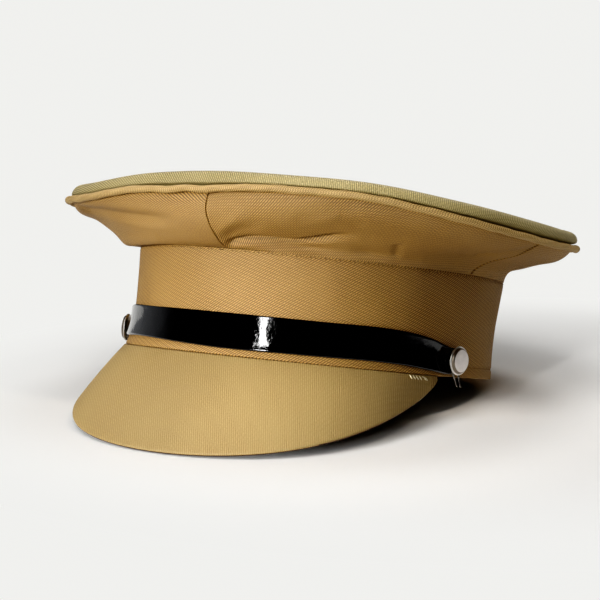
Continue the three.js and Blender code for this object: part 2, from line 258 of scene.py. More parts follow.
def twill(name, lit, groove_shade, faded, rib_turn, rib_pitch=1.0 * mm, float_dip=0.6, relief=0.7, grain=0.45):
    """Cotton twill: slanting ribs of floats in the lit colour, painted light on their tops, over the groove colour,
    painted shade between them, on the panel's own cut coordinates in metres.
    """
    material = bpy.data.materials.new(name)
    material.use_nodes = True
    tree = material.node_tree
    shader = tree.nodes["Principled BSDF"]
    cut = add_node(tree, "ShaderNodeTexCoord").outputs["UV"]
    turned = add_node(tree, "ShaderNodeMapping", [cut])
    turned.inputs["Rotation"].default_value = (0, 0, rib_turn)
    slub = noise(tree, cut, slub_scale)
    parts = add_node(tree, "ShaderNodeSeparateXYZ", [turned.outputs[0]])
    wander = maths(tree, "MULTIPLY_ADD", slub, rib_wander, parts.outputs[1])
    rib = maths(tree, "DIVIDE", wander, rib_pitch)
    ridge = maths(tree, "SINE", maths(tree, "MULTIPLY", rib, 2 * math.pi))
    ridge = span(tree, ridge, -0.9, 0.7, 0.0, 1.0)
    row = maths(tree, "MULTIPLY", maths(tree, "FLOOR", maths(tree, "ADD", rib, 0.25)), row_shift)
    floats = maths(tree, "ADD", maths(tree, "DIVIDE", parts.outputs[0], float_length), row)
    crossing = maths(tree, "SINE", maths(tree, "MULTIPLY", floats, 2 * math.pi))
    crossing = span(tree, crossing, -1.0, 0.0, float_dip, 1.0)
    weave = maths(tree, "MULTIPLY", ridge, crossing)
    yarn = span(tree, noise(tree, cut, yarn_scale, 3.0), 0.3, 0.7, 0.0, 1.0)
    patches = span(tree, noise(tree, cut, patch_scale, 3.0), 0.3, 0.7, 0.0, 1.0)
    # The weave blends from the groove colour, painted shade between the ribs, to the lit colour, painted light on
    # their tops; yarn spots lean to the painted shade.
    colour = blend_colours(tree, weave, groove_shade, lit)
    colour = blend_colours(tree, span(tree, yarn, 0.0, 1.0, 0.0, grain), colour, groove_shade)
    colour = blend_colours(tree, span(tree, patches, 0.0, 1.0, 0.0, 0.4), colour, faded)
    tree.links.new(colour, shader.inputs["Base Color"])
    height = maths(tree, "MULTIPLY_ADD", yarn, 0.4, weave)
    bump = add_node(tree, "ShaderNodeBump")
    bump.inputs["Strength"].default_value = relief
    bump.inputs["Distance"].default_value = rib_height
    tree.links.new(height, bump.inputs["Height"])
    tree.links.new(bump.outputs[0], shader.inputs["Normal"])
    tree.links.new(span(tree, weave, 0.0, 1.0, 0.8, 0.55), shader.inputs["Roughness"])
    shader.inputs["Specular IOR Level"].default_value = 0.5
    return material


# Lit and groove copies of the khaki: the groove colour is painted shade between the ribs, the lit colour painted
# light on them.
khaki_lit = (0.50, 0.28, 0.068, 1)
khaki_groove_shade = (0.06, 0.03, 0.006, 1)
khaki_faded = (0.307, 0.184, 0.057, 1)
khaki_twill = twill("khaki_twill", khaki_lit, khaki_groove_shade, khaki_faded, math.radians(-36))

hem_height = 5.0
hem_sink = 0.45
hem_width = 0.6
hem_start = 1.1
hem_full = 1.3
stitch_drop = 0.8
seam_sink = 0.25
seam_width = 0.7
play_height = 30.0
play_spread = 16.0


def band_face(angle, height):
    """The band's outer face with its hem line, the sunk stitches at its top and the slight play of the cloth."""
    hem = hem_sink * hump(height - hem_height, hem_width)
    hem = hem * smooth_step(np.abs(wrapped(angle)), hem_start, hem_full)
    sunk = seam_sink * hump(height - (band_height - gap - stitch_drop), seam_width)
    play = 0.12 * np.sin(5 * angle + 0.06 * height) + 0.1 * np.sin(9 * angle - 0.11 * height + 1.3)
    play = play * hump(height - play_height, play_spread)
    return band_point(angle, height, play - hem - sunk)


def settled(points):
    """Flattens what would reach under the floor."""
    points[..., 2] = np.maximum(points[..., 2], 0)
    return points


def set_down(piece):
    """Flattens what is left of a piece under the floor."""
    for v in piece.data.vertices:
        v.co.z = max(v.co.z, 0)


band_angles = np.linspace(math.pi, -math.pi, 481)[:, None]
band_heights = np.concatenate(
    [
        np.linspace(0, 2, 8)[:-1],
        np.linspace(2, 9, 14)[:-1],
        np.linspace(9, 44, 18)[:-1],
        np.linspace(44, band_height - gap, 18),
    ]
)[None, :]
band_grid = band_face(band_angles, band_heights)
sag = rim_sag * hump(wrapped(band_angles - math.pi), rim_spread) * np.maximum(0, 1 - band_heights / sag_height)
band_grid[..., 2] -= sag
band_cut = np.stack(np.broadcast_arrays(band_angles * mean_radius * mm, band_heights * mm), -1)
band = sewn_panel("band", settled(on_floor(band_grid)), band_wall * mm, band_cut, closed=True, rounding=0.14)
set_down(band)
band.data.materials.append(khaki_twill)
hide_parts("band")


# Quarters: four shaped side panels of the same twill that flare from the band out to the crown's edge. They are
# sewn to each other at the front, the sides and the back, to the band below and behind the piping above, and
# the cloth keeps soft dents and a crease near the front seam.
front_seam = 2.0
side_seam = 82.0
piping_radius = 1.7
cloth_wall = 2.0
# angle, reach, rise, crest, seam out, seam up, rim out, rim up
crown_rows = np.array(
    [
        (-180, 31, 20, 8.6, 1, 8, 18, 10),
        (-150, 32, 20, 8.6, 1, 8, 18, 10),
        (-120, 35, 19, 8.6, 3, 6, 21, 10),
        (-90, 38, 18.5, 8.6, 6, 3, 25, 11),
        (-60, 39.4, 19.3, 8.4, 9, 0.5, 27, 13),
        (-40, 33, 18.8, 8.8, 10, 0.5, 26, 12),
        (-20, 24, 23.3, 8.6, 10, 1, 22, 11),
        (0, 18.5, 25.8, 8.6, 9, 2, 20, 11),
        (20, 23.5, 27.3, 7.2, -1, 8, 21, 6),
        (40, 32, 26.6, 7.4, 0, 8, 26, 9),
        (60, 39, 21.4, 8.8, 1, 7, 28, 9),
        (80, 38.5, 18.1, 9.4, 2.5, 7, 28, 8),
        (100, 36.5, 18.3, 8.8, 1.5, 7.5, 24, 8.5),
        (120, 34, 21, 8.8, 0, 8, 20, 10),
        (150, 32, 20.5, 8.6, 0.5, 8, 18, 10),
    ]
)
crown_turn = np.array([360.0] + [0] * 7)
crown_round = np.concatenate([crown_rows - crown_turn, crown_rows, crown_rows + crown_turn])
# angle, spread, along, width, depth
quarter_dents = (
    (10, 7, 0.34, 0.16, 1.3),
    (38, 13, 0.56, 0.2, 1.9),
    (25, 7, 0.14, 0.09, 1.6),
    (44, 5, 0.16, 0.12, 1.4),
    (74, 10, 0.4, 0.22, 1.8),
    (-45, 11, 0.62, 0.18, 1.2),
    (-62, 18, 0.84, 0.13, -2.2),
    (-40, 28, 0.2, 0.13, -2.8),
    (118, 20, 0.8, 0.15, -1.6),
    (118, 20, 0.25, 0.12, 1.2),
)
# width in mm, depth in mm (a ridge is negative), and the places a fold runs through: angle, share up the panel
quarter_folds = (
    (
        1.9,
        3.4,
        (
            (2.4, 0.08),
            (5, 0.16),
            (8.5, 0.23),
            (12.5, 0.26),
            (16.5, 0.27),
            (20.5, 0.26),
            (24.5, 0.28),
            (32, 0.39),
            (40, 0.48),
        ),
    ),
    (2.2, -0.3, ((4, 0.05), (8, 0.08), (14, 0.09), (20, 0.09))),
    (3.0, 0.8, ((3, 0.2), (6, 0.38), (9, 0.48), (17, 0.7))),
    (2.6, -0.7, ((2.6, 0.36), (5.5, 0.54), (11, 0.76))),
    (2.2, 0.7, ((49.5, 0.46), (51, 0.3), (52.5, 0.12))),
    (2.5, 0.6, ((33, 0.8), (40, 0.66))),
    (3.0, 2.4, ((-52, 0.84), (-40, 0.73), (-31, 0.67), (-24, 0.63), (-8, 0.59))),
    (3.0, 0.5, ((23, 0.7), (29, 0.82), (39, 0.98))),
    (3.0, 0.9, ((73, 0.42), (76.5, 0.64), (79.5, 0.79), (84, 0.95))),
    (3.0, 0.4, ((-20, 0.3), (-6, 0.16))),
)
# share up the panel and how far the front seam strays from its angle there, in degrees
seam_stray = np.array([(0, 0.5), (0.2, 0), (0.4, -0.6), (0.6, -1.1), (0.8, -1.5), (1, -1.1)])
stray_spread = math.radians(15)
seam_lap = 0.2
rim_tuck = math.radians(20)
rim_clear = 0.15
rim_groove = 0.65
groove_width = 0.025
fold_radius = 105
fold_rise = 32
# angle, spread, drop
piping_puckers = ((-10, 4, 0.7), (0, 4, 0.8))


def fold_depth(across, upward, width, depth, places):
    """How deep a fold lies across and up a panel, in mm: a soft valley along a bent line, faded at both ends."""
    line = np.array([(math.radians(angle) * fold_radius, share * fold_rise) for angle, share in places])
    runs = np.linalg.norm(np.diff(line, axis=0), axis=1)
    nearest = np.full(np.broadcast(across, upward).shape, np.inf)
    reached = np.zeros(nearest.shape)
    for start, end, run, before in zip(line, line[1:], runs, np.cumsum(runs) - runs):
        step = (end - start) / run
        along = np.clip((across - start[0]) * step[0] + (upward - start[1]) * step[1], 0, run)
        away = np.hypot(across - start[0] - along * step[0], upward - start[1] - along * step[1])
        reached = np.where(away < nearest, (before + along) / runs.sum(), reached)
        nearest = np.minimum(nearest, away)
    fade = smooth_step(reached, 0, 0.1) * (1 - smooth_step(reached, 0.7, 1))
    return depth * hump(nearest, width) * fade


def crown_section(angle):
    """Reach, rise, crest and the two handles of the crown's section at an angle."""
    rows = read_table(crown_round[:, 0], crown_round[:, 1:], np.degrees(wrapped(angle)))
    return np.moveaxis(rows, -1, 0)


def crown_point(angle, out, up):
    angle, out, up = np.broadcast_arrays(angle, out, up)
    points = band_point(angle, np.full(angle.shape, band_height), out)
    points[..., 2] += up
    return points


def rim_centre(angle):
    """The middle of the piping: its reach beyond the band and its rise above the band's seam."""
    reach, rise = crown_section(angle)[:2]
    for at, spread, drop in piping_puckers:
        rise = rise - drop * hump(wrapped(angle - math.radians(at)), math.radians(spread))
    return reach, rise


def quarter_face(angle, along):
    """The panel's outer face: a bent section from the band's seam up behind the piping, with its dents and folds."""
    stray = np.radians(read_table(seam_stray[:, 0], seam_stray[:, 1], along))
    angle = angle + stray * hump(wrapped(angle - math.radians(front_seam)), stray_spread)
    seam_out, seam_up, rim_out, rim_up = crown_section(angle)[3:]
    reach, rise = rim_centre(angle)
    tuck_in = (piping_radius + rim_clear) * math.cos(rim_tuck)
    tuck_down = (piping_radius + rim_clear) * math.sin(rim_tuck)
    ends = ((0 * reach, -seam_lap), (seam_out, seam_up), (rim_out, rim_up), (reach - tuck_in, rise - tuck_down))
    weights = ((1 - along) ** 3, 3 * (1 - along) ** 2 * along, 3 * (1 - along) * along**2, along**3)
    out = sum(w * e[0] for w, e in zip(weights, ends))
    up = sum(w * e[1] for w, e in zip(weights, ends))
    out_run = np.gradient(out, axis=1)
    up_run = np.gradient(up, axis=1)
    size = np.hypot(out_run, up_run)
    dent = 0 * out
    for at, spread, share, width, depth in quarter_dents:
        away = wrapped(angle - math.radians(at))
        dent += depth * hump(away, math.radians(spread)) * hump(along - share, width)
    for width, depth, places in quarter_folds:
        dent += fold_depth(wrapped(angle) * fold_radius, along * fold_rise, width, depth, places)
    dent += 0.15 * np.sin(11 * angle + 4 * along) * hump(along - 0.5, 0.35)
    dent *= smooth_step(along, 0, 0.06) * (1 - smooth_step(along, 0.9, 1))
    dent += rim_groove * hump(along - 1, groove_width)
    out = out - up_run / size * dent
    up = up + out_run / size * dent
    return crown_point(angle, out, up)


khaki_left = twill("khaki_left", khaki_lit, khaki_groove_shade, khaki_faded, math.radians(-54), 0.95 * mm)
khaki_right = twill("khaki_right", khaki_lit, khaki_groove_shade, khaki_faded, math.radians(28), 0.95 * mm, float_dip=0.8)
quarters = []
quarter_spans = (
    ("quarter_front_left", front_seam, side_seam),
    ("quarter_back_left", side_seam, 180.0),
    ("quarter_back_right", 180.0, 360.0 - side_seam),
    ("quarter_front_right", -side_seam, front_seam),
)
front_half = 0.15
side_half = 0.45
seam_radius = 100
edge_reach = 1.2
cut_radius = 110 * mm
edge_shares = np.array([0, 0.06, 0.15, 0.28, 0.45, 0.7, 1.0])


def finer_at_edges(edge, count):
    """Shares from 0 to 1 in even steps, with finer ones in a strip along each edge."""
    even = np.linspace(edge, 1 - edge, count)[1:-1]
    return np.concatenate([edge_shares * edge, even, 1 - edge_shares[::-1] * edge])


for name, start, end in quarter_spans:
    start_angle = math.radians(start) + (front_half if start == front_seam else side_half) / seam_radius
    end_angle = math.radians(end) - (front_half if end == front_seam else side_half) / seam_radius
    edge = edge_shares * edge_reach / seam_radius
    middle = np.linspace(start_angle + edge[-1], end_angle - edge[-1], round(end - start) * 2)[1:-1]
    angles = np.concatenate([start_angle + edge, middle, end_angle - edge[::-1]])[::-1, None]
    along = finer_at_edges(edge=0.035, count=48)[None, :]
    grid = on_floor(quarter_face(*np.broadcast_arrays(angles, along)))
    row_run = np.linalg.norm(np.diff(grid[:, grid.shape[1] // 2], axis=0), axis=-1)
    across = angles[0, 0] * cut_radius - np.concatenate([[0], np.cumsum(row_run)])[:, None]
    column_run = np.linalg.norm(np.diff(grid[len(grid) // 2], axis=0), axis=-1)
    upward = np.concatenate([[0], np.cumsum(column_run)])[None, :]
    cut = np.stack(np.broadcast_arrays(across, upward), -1)
    quarter = sewn_panel(name, grid, cloth_wall * mm, cut, closed=False, rounding=0.24)
    quarter.data.materials.append(khaki_left if name.endswith("left") else khaki_right)
    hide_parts(name)
    quarters.append(quarter)


# Piping: a cord wrapped in a bias strip of the khaki twill, sewn all round between the quarters and the top. It
# puckers a little between its stitches, and its ribs run slanting round the cord.
# The piping's groove colour is painted shade between its ribs, its lit colour painted light on them.
khaki_bias = twill(
    "khaki_bias",
    lit=(0.58, 0.38, 0.14, 1),
    groove_shade=(0.14, 0.083, 0.026, 1),
    faded=(0.41, 0.285, 0.113, 1),
    rib_turn=math.radians(-55),
    rib_pitch=0.95 * mm,
)
crown_radius = 122
pucker_share = 0.05
pucker_rise = 0.2
thick_share = 0.1
thick_angle = math.radians(-55)
thick_spread = math.radians(25)
piping_angles = np.linspace(math.pi, -math.pi, 721)[:, None]
piping_turns = np.linspace(0, 2 * math.pi, 21)[None, :]
piping_swell = 1 + pucker_share * np.sin(57 * piping_angles) * np.sin(23 * piping_angles + 0.7)
piping_swell += thick_share * hump(wrapped(piping_angles - thick_angle), thick_spread)
piping_reach, piping_rise = rim_centre(piping_angles)
piping_wave = pucker_rise * np.sin(31 * piping_angles + 1.1) * np.sin(13 * piping_angles)
piping_grid = on_floor(
    crown_point(
        piping_angles,
        piping_reach + piping_radius * piping_swell * np.cos(piping_turns),
        piping_rise + piping_wave + piping_radius * piping_swell * np.sin(piping_turns),
    )
)


def closed_loop(name, points, cut):
    """A tube closed both ways: the grid's first and last rows and columns meet."""
    bm = laid_grid(points, cut)
    bmesh.ops.remove_doubles(bm, verts=bm.verts, dist=weld_distance)
    bmesh.ops.recalc_face_normals(bm, faces=bm.faces)
    return finished(name, bm)


piping_cut = np.broadcast_arrays(piping_angles * crown_radius * mm, piping_turns * piping_radius * mm)
piping_cut = np.stack(piping_cut, -1)
crown_piping = closed_loop("crown_piping", piping_grid, piping_cut)
crown_piping.data.materials.append(khaki_bias)
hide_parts("crown_piping")


# Top: the oval panel of olive twill, stretched over a hoop so that its edge rolls down to the piping. It is
# sewn to the quarters through the piping, and its ribs run across the front edge.
# The top's groove colour is painted shade between its ribs, its lit colour painted light on them.
olive_twill = twill(
    "olive_twill",
    lit=(0.405, 0.316, 0.125, 1),
    groove_shade=(0.105, 0.083, 0.03, 1),
    faded=(0.317, 0.263, 0.123, 1),
    rib_turn=math.radians(50),
)
crown_middle = np.array([-1.5, 9.0])
crown_rise = 29.0
top_bow = 1.5
roll_share = 0.3
pucker_fade = 0.45
top_inset = np.array([1.5, 3.6, 1.4, 1.6, 3.4, 7.0, 14.0])
top_rise = np.array([0.1, 0.2, 0.31, 0.55, 0.84, 1.0, 1.07])
top_puff = np.array([0.2, 0.9, -0.9, -1.9, -2.0, -1.0, 0])
puff_angle = math.radians(85)
puff_spread = math.radians(45)


def top_face(angle, share):
    """The top's face: up the rolled edge for shares under roll_share, then across the middle to its centre."""
    reach, smooth_rise, crest = crown_section(angle)[:3]
    roll = np.minimum(share / roll_share, 1)
    rise = smooth_rise + (rim_centre(angle)[1] - smooth_rise) * (1 - smooth_step(roll, 0, pucker_fade))
    places = np.linspace(0, 1, len(top_inset))
    puff = hump(wrapped(angle - puff_angle), puff_spread)
    inset = read_table(places, top_inset, roll) + puff * read_table(places, top_puff, roll)
    point = crown_point(angle, reach, rise + read_table(places, top_rise, roll) * crest)
    inward = crown_middle - point[..., :2]
    size = np.linalg.norm(inward, axis=-1, keepdims=True)
    point[..., :2] += inward / size * inset[..., None]
    middle = np.maximum(0, (share - roll_share) / (1 - roll_share))
    left = (1 - middle)[..., None]
    centre = np.array([*crown_middle, band_height + crown_rise])
    flat = centre + (point - centre) * left
    flat[..., 2] = centre[2] + (point[..., 2] - centre[2]) * (1 - middle) ** top_bow
    return flat


top_angles = np.linspace(math.pi, -math.pi, 361)[:, None]
top_edge = 0.03
top_roll = np.linspace(top_edge, roll_share, 26)[1:]
top_flat = np.linspace(roll_share, 1, 40)[1:]
top_shares = np.concatenate([edge_shares * top_edge, top_roll, top_flat])[None, :]
top_grid = on_floor(top_face(*np.broadcast_arrays(top_angles, top_shares)))
top_run = np.linalg.norm(np.diff(top_grid, axis=1), axis=-1)
top_out = np.concatenate([np.cumsum(top_run[:, ::-1], axis=1)[:, ::-1], np.zeros((len(top_run), 1))], axis=1)
top_cut = np.stack([top_out * np.sin(top_angles), -top_out * np.cos(top_angles)], -1)
crown_top = sewn_panel("crown_top", top_grid, cloth_wall * mm, top_cut, closed=True, open_end=True)
crown_top.data.materials.append(olive_twill)
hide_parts("crown_top")


# Peak: a stiff board covered in the khaki twill, sewn under the front of the band. It curves down in a long arc
# to the floor, and a bar of light stitches holds each corner.
peak_corner = math.radians(72)
peak_reach = 112.0
peak_bulge = 0.23
peak_lift_power = 0.62
peak_thickness = 2.2
peak_crown = 2.0
peak_press = 0.3
peak_corner_out = 0.4
peak_corner_drop = 1.6
peak_tuck_in = 0.9
peak_tuck_down = 0.25
peak_edge = 0.035
peak_crowding = 0.55
under_tilt = -0.3
# The peak's khaki is a paler, bluer copy of the band's, with a lighter groove colour: a painted sheen on the same
# cloth.
peak_khaki_painted_sheen = twill(
    "peak_khaki_painted_sheen",
    lit=(0.405, 0.28, 0.107, 1),
    groove_shade=(0.235, 0.154, 0.053, 1),
    faded=(0.376, 0.268, 0.105, 1),
    rib_turn=math.radians(60),
    rib_pitch=0.95 * mm,
    float_dip=0.7,
    relief=0.5,
    grain=0.85,
)
# The under face is dark brown: painted shade under the peak and along its lower edge at the floor.
peak_under_painted_shade = twill(
    "peak_under_painted_shade",
    lit=(0.085, 0.045, 0.022, 1),
    groove_shade=(0.04, 0.02, 0.009, 1),
    faded=(0.07, 0.04, 0.02, 1),
    rib_turn=math.radians(60),
)


def stood(points):
    """The cap's own frame tipped onto the floor, still in millimetres and before its final offset."""
    return on_floor(points) / mm - stand_offset * (1, 1, 0)


def peak_middle(turn, share):
    """The peak's middle surface between its sewn edge and its free edge, with turn from -1 to 1."""
    tuck = band_point(turn * peak_corner, 0 * turn, 0 * turn - peak_tuck_in)
    tuck[..., 2] -= gap + peak_tuck_down
    inner = stood(tuck)
    corner = stood(band_point(np.array(peak_corner), np.array(0.0), np.array(0.0)))
    swing = turn * math.pi / 2
    ahead = np.maximum(0, np.cos(swing))
    low = peak_thickness / 2 - peak_press
    lift = 1 - ahead**peak_lift_power
    outer = np.stack(
        [
            (corner[0] + peak_corner_out) * np.sin(swing) * (1 + peak_bulge * ahead**2),
            corner[1] - peak_reach * ahead,
            low + (corner[2] - peak_corner_drop - low) * lift,
        ],
        -1,
    )
    points = inner + (outer - inner) * share[..., None]
    points[..., 2] += 4 * share * (1 - share) * peak_crown * ahead
    return points


even_turns = np.linspace(-1, 1, 181)
crowded_turns = np.sin(even_turns * math.pi / 2)
peak_turns = (peak_crowding * crowded_turns + (1 - peak_crowding) * even_turns)[:, None]
peak_shares = np.concatenate([np.linspace(0, 1 - peak_edge, 60)[:-1], 1 - edge_shares[::-1] * peak_edge])[None, :]
peak_mid = peak_middle(*np.broadcast_arrays(peak_turns, peak_shares))
peak_normal = face_normals(peak_mid, closed=False)
peak_normal *= np.sign(peak_normal[..., 2:3] + 1e-9)
peak_face = (peak_mid + peak_normal * peak_thickness / 2 + stand_offset * (1, 1, 0)) * mm
peak_cut = peak_face[..., :2].copy()
peak = sewn_panel("peak", peak_face, peak_thickness * mm, peak_cut, closed=False)
set_down(peak)
peak.data.materials.append(peak_khaki_painted_sheen)
peak.data.materials.append(peak_under_painted_shade)
# Faces turned down take the dark brown, painted shade.
for f in peak.data.polygons:
    f.material_index = 1 if f.normal.z < under_tilt else 0
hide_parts("peak")


# Chin strap: a strip of black patent leather that runs across the front above the peak from button to button,
# held close to the band. Its ends narrow and gather under the buttons.
strap_turn = math.radians(4.5)
strap_thickness = 1.4
strap_end = 77.5
strap_radius = 95
patent_black = (0.004, 0.004, 0.005, 1)
patent_worn = (0.012, 0.012, 0.014, 1)
patent_dimple = 0.055 * mm
# angle from the middle, height of the lower edge, height of the upper edge
strap_rows = np.array(
    [
        (-strap_end, 4, 11.2),
        (-75.5, 2.4, 13.4),
        (-72, 2.4, 15),
        (-65, 3.9, 17.9),
        (-50, 4.6, 19.6),
        (-32, 4.7, 19.6),
        (-17, 3.9, 19.6),
        (0, 3.1, 19.6),
        (28, 3.5, 19.6),
        (50, 3.7, 19.6),
        (56, 3.3, 19),
        (64, 2.2, 17.2),
        (72, 1.2, 14),
        (75.5, 1.8, 13.2),
        (strap_end, 4, 11.2),
    ]
)
strap_angles = np.radians(np.linspace(strap_end, -strap_end, 311))[:, None]
strap_edges = read_table(strap_rows[:, 0], strap_rows[:, 1:], np.degrees(strap_angles))
strap_bottom, strap_top = strap_edges[..., 0], strap_edges[..., 1]
strap_heights = strap_bottom + (strap_top - strap_bottom) * finer_at_edges(edge=0.05, count=24)[None, :]
strap_gather = smooth_step(np.degrees(strap_angles), 60, 72)
strap_play = 0.02 * np.sin(0.9 * np.degrees(strap_angles)) * np.sin(0.31 * strap_heights + 0.5)
strap_play = strap_play + strap_gather * 0.12 * np.sin(1.2 * np.degrees(strap_angles) + 0.6 * strap_heights)
strap_grid = on_floor(band_point(strap_angles + strap_turn, strap_heights, gap + strap_thickness + strap_play))
strap_cut = np.stack(np.broadcast_arrays(strap_angles * strap_radius * mm, strap_heights * mm), -1)
chin_strap = sewn_panel("chin_strap", strap_grid, strap_thickness * mm, strap_cut, closed=False)

black_patent = bpy.data.materials.new("black_patent")
black_patent.use_nodes = True
patent_tree = black_patent.node_tree
patent_shader = patent_tree.nodes["Principled BSDF"]
patent_cut = add_node(patent_tree, "ShaderNodeTexCoord").outputs["UV"]
patent_tone = blend_colours(patent_tree, noise(patent_tree, patent_cut, 60.0), patent_black, patent_worn)
patent_tree.links.new(patent_tone, patent_shader.inputs["Base Color"])
patent_haze = span(patent_tree, noise(patent_tree, patent_cut, 90.0, 4.0), 0.35, 0.75, 0.04, 0.12)
patent_tree.links.new(patent_haze, patent_shader.inputs["Roughness"])
patent_peel = maths(
    patent_tree,
    "MULTIPLY_ADD",
    noise(patent_tree, patent_cut, 1700.0, 1.0),
    0.35,
    noise(patent_tree, patent_cut, 420.0, 1.0),
)
patent_bump = add_node(patent_tree, "ShaderNodeBump")
patent_bump.inputs["Strength"].default_value = 1.0
patent_bump.inputs["Distance"].default_value = patent_dimple
patent_tree.links.new(patent_peel, patent_bump.inputs["Height"])
patent_tree.links.new(patent_bump.outputs[0], patent_shader.inputs["Normal"])
patent_shader.inputs["Specular IOR Level"].default_value = 0.6
patent_shader.inputs["Coat Weight"].default_value = 0.4
patent_shader.inputs["Coat Roughness"].default_value = 0.04
chin_strap.data.materials.append(black_patent)
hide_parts("chin_strap")


# Buttons: plated metal caps with a rolled rim round a shallow dome, on a shank through the strap's ends. One
# holds the strap on each side of the band.
button_angle = math.radians(72.8)
button_height = 7.9
button_seat = strap_thickness + 3 * gap
rim_top = 4.15
dome_radius = 5.5
# radius, out
button_profile = (
    (0, 0),
    (2.2, 0),
    (2.2, 2.6),
    (4.4, 2.68),
    (5.9, 2.9),
    (6.5, 3.1),
    (6.82, 3.4),
    (6.9, 3.7),
    (6.8, 3.98),
    (6.55, 4.1),
    (6.3, 4.1),
    (6.15, 4.25),
    (6.0, 4.7),
    (5.75, 5.1),
    (5.35, 5.32),
    (4.8, 5.4),
    (3.2, 5.5),
    (1.6, 5.55),
    (0, 5.57),
)


def metal(name, colour, rough_low, rough_high, speckle):
    """Plated metal with a fine uneven polish."""
    material = bpy.data.materials.new(name)
    material.use_nodes = True
    tree = material.node_tree
    shader = tree.nodes["Principled BSDF"]
    spot = add_node(tree, "ShaderNodeTexCoord").outputs["Object"]
    grain = noise(tree, spot, speckle, 4.0)
    tree.links.new(span(tree, grain, 0.3, 0.7, rough_low, rough_high), shader.inputs["Roughness"])
    dull = tuple(0.8 * c for c in colour[:3]) + (1,)
    tree.links.new(blend_colours(tree, noise(tree, spot, speckle / 6), colour, dull), shader.inputs["Base Color"])
    bump = add_node(tree, "ShaderNodeBump")
    bump.inputs["Strength"].default_value = 0.08
    bump.inputs["Distance"].default_value = 0.1 * mm
    tree.links.new(grain, bump.inputs["Height"])
    tree.links.new(bump.outputs[0], shader.inputs["Normal"])
    shader.inputs["Metallic"].default_value = 1.0
    return material


satin_plate = metal("satin_plate", (0.84, 0.79, 0.76, 1), 0.42, 0.6, 2200.0)
polished_plate = metal("polished_plate", (0.84, 0.81, 0.77, 1), 0.3, 0.42, 1500.0)
# The darker plate on the slope between rim and dome is painted shade and painted reflection of the black strap in
# that groove.
groove_painted_shade_plate = metal("groove_painted_shade_plate", (0.26, 0.22, 0.18, 1), 0.3, 0.45, 1500.0)


def fastening_frame(side):
    """Where a button stands: its foot on the strap, with local X along the band, Y up it and Z out."""
    angle = np.array(strap_turn + side * button_angle)
    foot = on_floor(band_point(angle, np.array(button_height), np.array(button_seat)))
    out = on_floor(band_point(angle, np.array(button_height), np.array(button_seat)) + band_normal(angle)) - foot
    outward = Vector(out).normalized()
    up = Vector((0, math.sin(pitch), math.cos(pitch)))
    along = up.cross(outward).normalized()
    up = outward.cross(along)
    return Matrix(
        (
            (along.x, up.x, outward.x, foot[0]),
            (along.y, up.y, outward.y, foot[1]),
            (along.z, up.z, outward.z, foot[2]),
            (0, 0, 0, 1),
        )
    )


metals = []
for name, side in (("left", 1), ("right", -1)):
    bm = bmesh.new()
    ring = [bm.verts.new((radius * mm, 0, out * mm)) for radius, out in button_profile]
    profile = [bm.edges.new(pair) for pair in zip(ring, ring[1:])]
    bmesh.ops.spin(
        bm,
        geom=ring + profile,
        axis=(0, 0, 1),
        cent=(0, 0, 0),
        angle=2 * math.pi,
        steps=64,
        use_merge=True,
    )
    bmesh.ops.remove_doubles(bm, verts=bm.verts, dist=weld_distance)
    bmesh.ops.recalc_face_normals(bm, faces=bm.faces)
    # The slope between rim and dome takes the darker plate, painted shade and reflection.
    for f in bm.faces:
        middle = f.calc_center_median()
        f.material_index = 1
        if middle.z > rim_top * mm:
            f.material_index = 0 if middle.xy.length < dome_radius * mm else 2
    bmesh.ops.transform(bm, matrix=fastening_frame(side), verts=bm.verts)
    button = finished(f"button_{name}", bm)
    for plate in (satin_plate, polished_plate, groove_painted_shade_plate):
        button.data.materials.append(plate)
    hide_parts(f"button_{name}")
    metals.append(button)


# Split pins: each is a dark plated wire bent double and slipped over a button's shank, which keeps the button on.
# Its two legs hang slanting below the button.
pin_wire = 0.55
pin_slant = 0.28
pin_bend = -2
dark_wire = metal("dark_wire", (0.30, 0.28, 0.25, 1), 0.18, 0.35, 1500.0)
# across, up, out
pin_legs = ((1.4, -12.6, 2.2), (1.6, -9.6, 1.5), (2.5, -5, 0.7), (3.15, 0, 0.2))
pin_top = (0, 3.15, 0.2)
for name, side in (("left", 1), ("right", -1)):
    line = bpy.data.curves.new(f"split_pin_{name}", "CURVE")
    line.dimensions = "3D"
    line.bevel_depth = pin_wire * mm
    line.bevel_resolution = 3
    line.resolution_u = 8
    line.use_fill_caps = True
    bends = [(-a, u, o) for a, u, o in pin_legs] + [pin_top, *reversed(pin_legs)]
    spline = line.splines.new("BEZIER")
    spline.bezier_points.add(len(bends) - 1)
    for point, (across, up, out) in zip(spline.bezier_points, bends):
        point.co = Vector((across - pin_slant * min(0, up - pin_bend), up, out + pin_wire)) * mm
        point.handle_left_type = point.handle_right_type = "AUTO"
    wire = bpy.data.objects.new("wire", line)
    bpy.context.scene.collection.objects.link(wire)
    bpy.context.view_layer.update()
    shape = bpy.data.meshes.new_from_object(wire.evaluated_get(bpy.context.evaluated_depsgraph_get()))
    bpy.data.objects.remove(wire)
    bm = bmesh.new()
    bm.from_mesh(shape)
    bmesh.ops.remove_doubles(bm, verts=bm.verts, dist=1e-6)
    bmesh.ops.recalc_face_normals(bm, faces=bm.faces)
    bmesh.ops.transform(bm, matrix=fastening_frame(side), verts=bm.verts)
    split_pin = finished(f"split_pin_{name}", bm)
    split_pin.data.materials.append(dark_wire)
    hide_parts(f"split_pin_{name}")
    metals.append(split_pin)


# Stitches: khaki thread in small even stitches, along the band under the crown's seam and along the band's hem,
# and lighter thread in a slanting bar that holds each corner of the peak.
stitch_stand = 0.02
